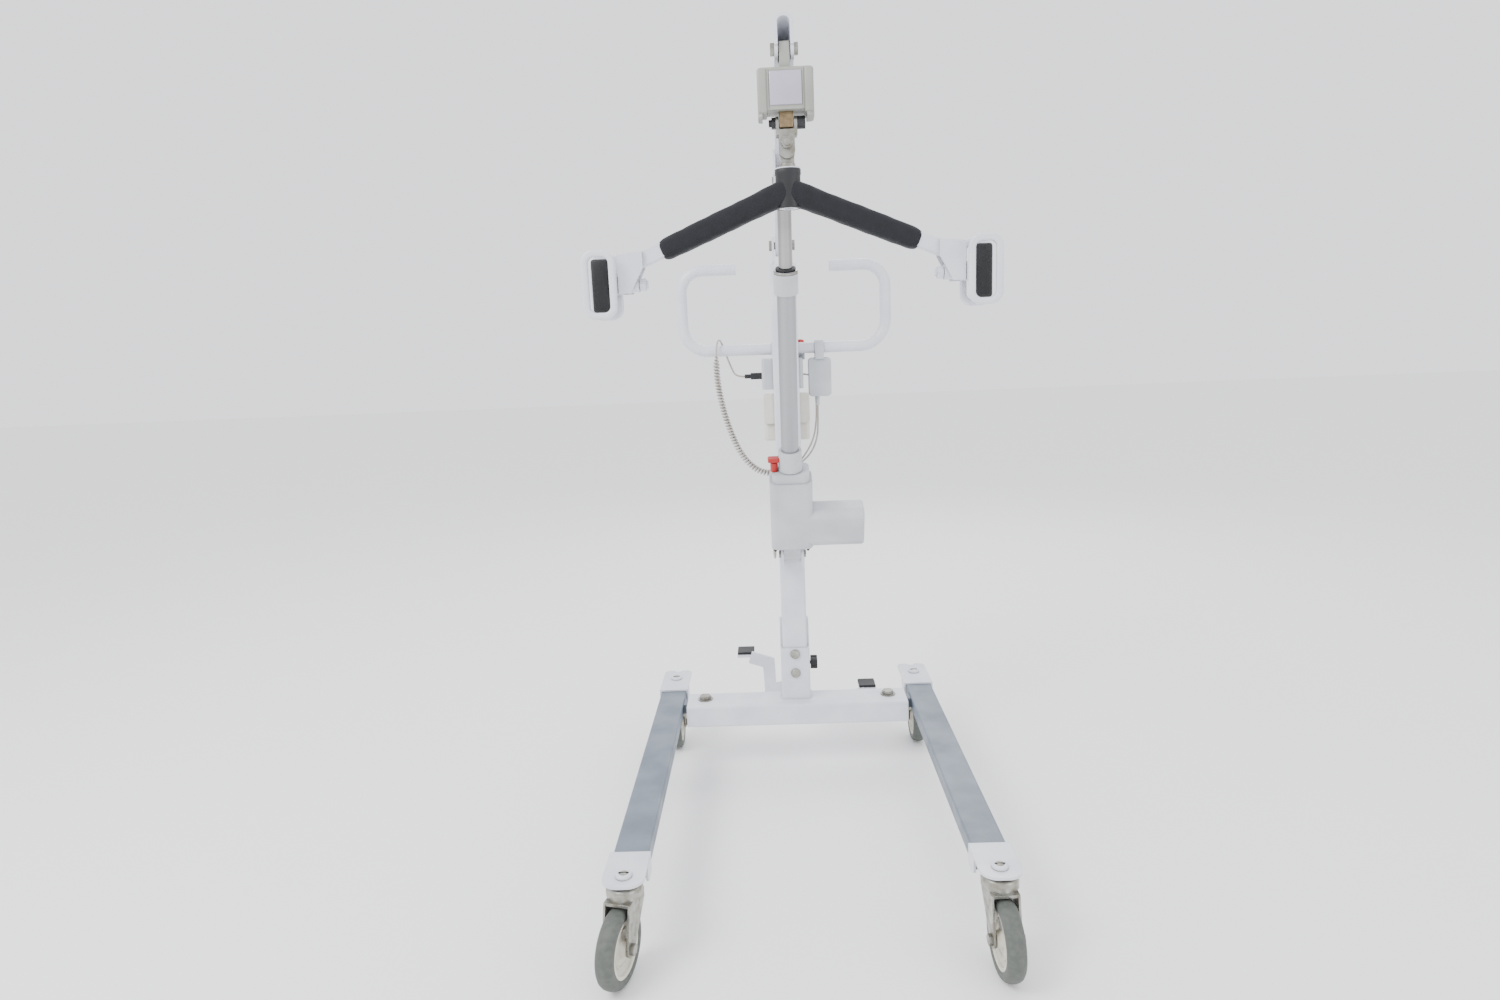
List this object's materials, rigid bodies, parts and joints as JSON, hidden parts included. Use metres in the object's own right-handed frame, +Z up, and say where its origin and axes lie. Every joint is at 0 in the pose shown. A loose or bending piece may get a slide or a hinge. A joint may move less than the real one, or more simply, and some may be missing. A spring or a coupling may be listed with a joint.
{
  "type": "patient lift hoist",
  "caption": "Mobile patient lift with spreading base legs on casters, a mast, an actuator-raised boom, a hanging weighing scale and a swivelling padded spreader bar with strap loops.",
  "frame": {"origin": "on the floor under the middle of the object's bounding box", "axes": "+Z up, +X to the right seen from the patient's end, -Y towards the patient's end where the legs are open"},
  "size_m": [0.6649, 1.0207, 1.4475],
  "materials": {
    "frame_blue": "grey-blue powder coat",
    "frame_white": "white powder coat",
    "zinc": "zinc plated steel",
    "black_steel": "black powder coat",
    "tyre": "grey polyurethane",
    "wheel_plastic": "cream nylon",
    "foam": "closed-cell foam",
    "cord_pvc": "soft grey PVC",
    "cream_plastic": "cream moulding",
    "black_rubber": "moulded rubber",
    "grey_plastic": "light grey moulding",
    "dark_plastic": "black moulding",
    "red_plastic": "red moulding",
    "tube_aluminium": "drawn and anodised",
    "rod_chrome": "ground and chromed",
    "scale_plastic": "greenish-grey moulding"
  },
  "bodies": {
    "base": {"base_beam": "frame_white", "leg_pivot_bolts": "zinc", "mast_socket": "frame_white", "mast_socket_bolts": "zinc", "mast": "frame_white", "boom_pivot_bolt": "zinc", "push_handle": "frame_white", "handle_bracket": "frame_white", "control_box": "grey_plastic", "battery_bracket": "cream_plastic", "actuator_bracket": "frame_white", "actuator_foot_bolt": "zinc", "handset_cord_curl": "cord_pvc", "handset_cord_leads": "cord_pvc", "handset_cord_plug": "dark_plastic", "actuator_lead": "cord_pvc"},
    "clamp_knob": {"mast_clamp_knob": "dark_plastic"},
    "stop_button": {"stop_button": "red_plastic"},
    "battery": {"battery_pack": "cream_plastic"},
    "rocker": {"pedal_rocker": "frame_white", "pedal_pads": "black_rubber"},
    "tie_left": {"tie_bar_left": "zinc"},
    "tie_right": {"tie_bar_right": "zinc"},
    "boom": {"boom": "frame_white", "boom_tip_bolt": "zinc"},
    "actuator": {"actuator_housing": "grey_plastic", "actuator_tube": "tube_aluminium"},
    "rod": {"actuator_rod": "rod_chrome"},
    "emergency_lever": {"emergency_lever": "red_plastic"},
    "scale": {"scale_housing": "scale_plastic", "scale_lower_bolt": "black_steel"},
    "clevis": {"swivel_clevis": "zinc"},
    "stem": {"swivel_stem": "zinc"},
    "spreader": {"spreader_bar": "frame_white", "spreader_pad": "foam"},
    "hook_left": {"hook_left": "frame_white"},
    "hook_right": {"hook_right": "frame_white"},
    "handset": {"handset": "grey_plastic"},
    "up_button": {"handset_up_button": "dark_plastic"},
    "down_button": {"handset_down_button": "dark_plastic"},
    "leg_left": {"leg_left_tube": "frame_blue", "leg_left_front_bracket": "frame_white", "leg_left_rear_bracket": "frame_white"},
    "front_left_fork": {"front_left_caster_fork": "zinc"},
    "front_left_wheel": {"front_left_tyre": "tyre", "front_left_wheel_hub": "wheel_plastic"},
    "rear_left_fork": {"rear_left_caster_fork": "zinc"},
    "rear_left_wheel": {"rear_left_tyre": "tyre", "rear_left_wheel_hub": "wheel_plastic"},
    "rear_left_brake": {"rear_left_brake_lever": "dark_plastic"},
    "leg_right": {"leg_right_tube": "frame_blue", "leg_right_front_bracket": "frame_white", "leg_right_rear_bracket": "frame_white"},
    "front_right_fork": {"front_right_caster_fork": "zinc"},
    "front_right_wheel": {"front_right_tyre": "tyre", "front_right_wheel_hub": "wheel_plastic"},
    "rear_right_fork": {"rear_right_caster_fork": "zinc"},
    "rear_right_wheel": {"rear_right_tyre": "tyre", "rear_right_wheel_hub": "wheel_plastic"},
    "rear_right_brake": {"rear_right_brake_lever": "dark_plastic"}
  },
  "joints": [
    {"name": "leg_left_swing", "type": "hinge", "parent": "base", "child": "leg_left", "pos_m": [-0.215, 0.298, 0.143], "axis": [0, 0, -1], "range_deg": [0, 15]},
    {"name": "leg_right_swing", "type": "hinge", "parent": "base", "child": "leg_right", "pos_m": [0.215, 0.298, 0.143], "axis": [0, 0, 1], "range_deg": [0, 15]},
    {"name": "pedal_rock", "type": "hinge", "parent": "base", "child": "rocker", "pos_m": [0, 0.4, 0.133], "axis": [0, -1, 0], "range_deg": [0, 36]},
    {"name": "tie_left_slide", "type": "slide", "parent": "base", "child": "tie_left", "axis": [-1, 0, 0], "range_m": [0, 0.0075]},
    {"name": "tie_right_slide", "type": "slide", "parent": "base", "child": "tie_right", "axis": [1, 0, 0], "range_m": [0, 0.0075]},
    {"name": "boom_lift", "type": "hinge", "parent": "base", "child": "boom", "pos_m": [0, 0.318, 1.191], "axis": [-1, 0, 0], "range_deg": [-23, 22]},
    {"name": "actuator_tilt", "type": "hinge", "parent": "base", "child": "actuator", "pos_m": [0, 0.231, 0.521], "axis": [-1, 0, 0], "range_deg": [-6, 6]},
    {"name": "rod_extend", "type": "slide", "parent": "actuator", "child": "rod", "axis": [0, -0.3433, 0.9392], "range_m": [-0.13, 0.125]},
    {"name": "emergency_lower", "type": "slide", "parent": "actuator", "child": "emergency_lever", "axis": [0, -0.3433, 0.9392], "range_m": [0, 0.005], "stiffness_N_per_m": 300, "springref_m": -0.001},
    {"name": "scale_swing", "type": "hinge", "parent": "boom", "child": "scale", "pos_m": [0, -0.33223, 1.39792], "axis": [1, 0, 0], "range_deg": [-60, 24]},
    {"name": "clevis_swing", "type": "hinge", "parent": "scale", "child": "clevis", "pos_m": [0, -0.33223, 1.29792], "axis": [1, 0, 0], "range_deg": [-40, 40]},
    {"name": "spreader_tilt", "type": "hinge", "parent": "clevis", "child": "stem", "pos_m": [0, -0.33223, 1.26792], "axis": [0, 1, 0], "range_deg": [-20, 20]},
    {"name": "spreader_swivel", "type": "hinge", "parent": "stem", "child": "spreader", "pos_m": [0, -0.33223, 1.20792], "axis": [0, 0, 1], "continuous": true},
    {"name": "hook_left_swing", "type": "hinge", "parent": "spreader", "child": "hook_left", "pos_m": [-0.2625, -0.33223, 1.07792], "axis": [1, 0, 0], "range_deg": [-30, 30]},
    {"name": "hook_right_swing", "type": "hinge", "parent": "spreader", "child": "hook_right", "pos_m": [0.2625, -0.33223, 1.07792], "axis": [1, 0, 0], "range_deg": [-30, 30]},
    {"name": "mast_clamp_turn", "type": "hinge", "parent": "base", "child": "clamp_knob", "pos_m": [0.034, 0.326, 0.232], "axis": [1, 0, 0], "range_deg": [0, 720]},
    {"name": "stop_press", "type": "slide", "parent": "base", "child": "stop_button", "axis": [0, 0, -1], "range_m": [0, 0.004], "stiffness_N_per_m": 300, "springref_m": -0.001},
    {"name": "battery_release", "type": "slide", "parent": "base", "child": "battery", "axis": [0, 1, 0], "range_m": [0, 0.12]},
    {"name": "handset_swing", "type": "hinge", "parent": "base", "child": "handset", "pos_m": [0.078, 0.365, 0.9685], "axis": [1, 0, 0], "range_deg": [-2, 10]},
    {"name": "up_press", "type": "slide", "parent": "handset", "child": "up_button", "axis": [0, -1, 0], "range_m": [0, 0.0015], "stiffness_N_per_m": 300, "springref_m": -0.001},
    {"name": "down_press", "type": "slide", "parent": "handset", "child": "down_button", "axis": [0, -1, 0], "range_m": [0, 0.0015], "stiffness_N_per_m": 300, "springref_m": -0.001},
    {"name": "front_left_swivel", "type": "hinge", "parent": "leg_left", "child": "front_left_fork", "pos_m": [-0.296, -0.42, 0.15], "axis": [0, 0, 1], "continuous": true},
    {"name": "front_left_roll", "type": "hinge", "parent": "front_left_fork", "child": "front_left_wheel", "pos_m": [-0.30506, -0.45381, 0.0625], "axis": [0.9659, -0.2588, 0], "continuous": true},
    {"name": "rear_left_swivel", "type": "hinge", "parent": "leg_left", "child": "rear_left_fork", "pos_m": [-0.296, 0.426, 0.15], "axis": [0, 0, 1], "continuous": true},
    {"name": "rear_left_roll", "type": "hinge", "parent": "rear_left_fork", "child": "rear_left_wheel", "pos_m": [-0.296, 0.391, 0.0625], "axis": [1, 0, 0], "continuous": true},
    {"name": "rear_left_brake_press", "type": "hinge", "parent": "rear_left_fork", "child": "rear_left_brake", "pos_m": [-0.296, 0.456, 0.122], "axis": [-1, 0, 0], "range_deg": [0, 12]},
    {"name": "front_right_swivel", "type": "hinge", "parent": "leg_right", "child": "front_right_fork", "pos_m": [0.296, -0.42, 0.15], "axis": [0, 0, 1], "continuous": true},
    {"name": "front_right_roll", "type": "hinge", "parent": "front_right_fork", "child": "front_right_wheel", "pos_m": [0.29783, -0.45495, 0.0625], "axis": [0.9986, 0.0523, 0], "continuous": true},
    {"name": "rear_right_swivel", "type": "hinge", "parent": "leg_right", "child": "rear_right_fork", "pos_m": [0.296, 0.426, 0.15], "axis": [0, 0, 1], "continuous": true},
    {"name": "rear_right_roll", "type": "hinge", "parent": "rear_right_fork", "child": "rear_right_wheel", "pos_m": [0.296, 0.391, 0.0625], "axis": [1, 0, 0], "continuous": true},
    {"name": "rear_right_brake_press", "type": "hinge", "parent": "rear_right_fork", "child": "rear_right_brake", "pos_m": [0.296, 0.456, 0.122], "axis": [-1, 0, 0], "range_deg": [0, 12]}
  ],
  "couplings": [
    {"joint": "leg_right_swing", "follows": "leg_left_swing", "ratio": 1},
    {"joint": "pedal_rock", "follows": "leg_left_swing", "ratio": 2.4},
    {"joint": "tie_left_slide", "follows": "leg_left_swing", "m_per_rad": 0.028},
    {"joint": "tie_right_slide", "follows": "leg_left_swing", "m_per_rad": 0.028},
    {"joint": "actuator_tilt", "follows": "boom_lift", "ratio": 0.2462},
    {"joint": "rod_extend", "follows": "boom_lift", "m_per_rad": 0.32184}
  ]
}
